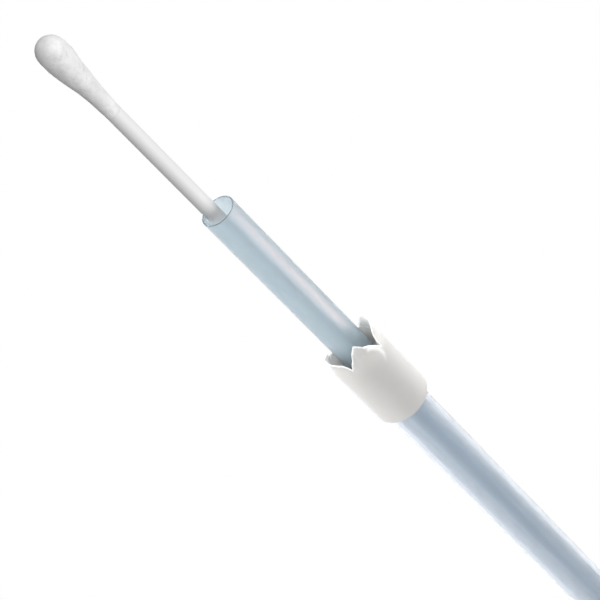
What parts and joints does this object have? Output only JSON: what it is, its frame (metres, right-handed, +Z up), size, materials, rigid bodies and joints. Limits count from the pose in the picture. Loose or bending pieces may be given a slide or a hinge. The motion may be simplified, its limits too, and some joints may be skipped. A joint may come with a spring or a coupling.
{
  "type": "double-guarded culture swab",
  "caption": "Fibre bud on a long shaft, pushed out of a milky inner tube that has burst the soft petalled cap of its clear outer sheath.",
  "frame": {"origin": "centre of the outer tube's rear end face", "axes": "+X along the tubes towards the end that the user pushes on, -X towards the bud, +Z up"},
  "size_m": [0.25, 0.0104, 0.0104],
  "materials": {
    "fibre": "wound fibre",
    "shaft_plastic": "matte",
    "milky_plastic": "satin",
    "clear_plastic": "gloss",
    "soft_plastic": "satin"
  },
  "bodies": {
    "outer_guard": {"outer_tube": "clear_plastic", "end_cap": "soft_plastic"},
    "inner_guard": {"inner_tube": "milky_plastic"},
    "swab": {"swab_shaft": "shaft_plastic", "swab_bud": "fibre"}
  },
  "joints": [
    {"name": "inner_slide", "type": "slide", "parent": "outer_guard", "child": "inner_guard", "axis": [1, 0, 0], "range_m": [-0.014, 0.046]},
    {"name": "swab_slide", "type": "slide", "parent": "inner_guard", "child": "swab", "axis": [0.9997, 0, 0.0244], "range_m": [-0.01, 0.046]}
  ]
}
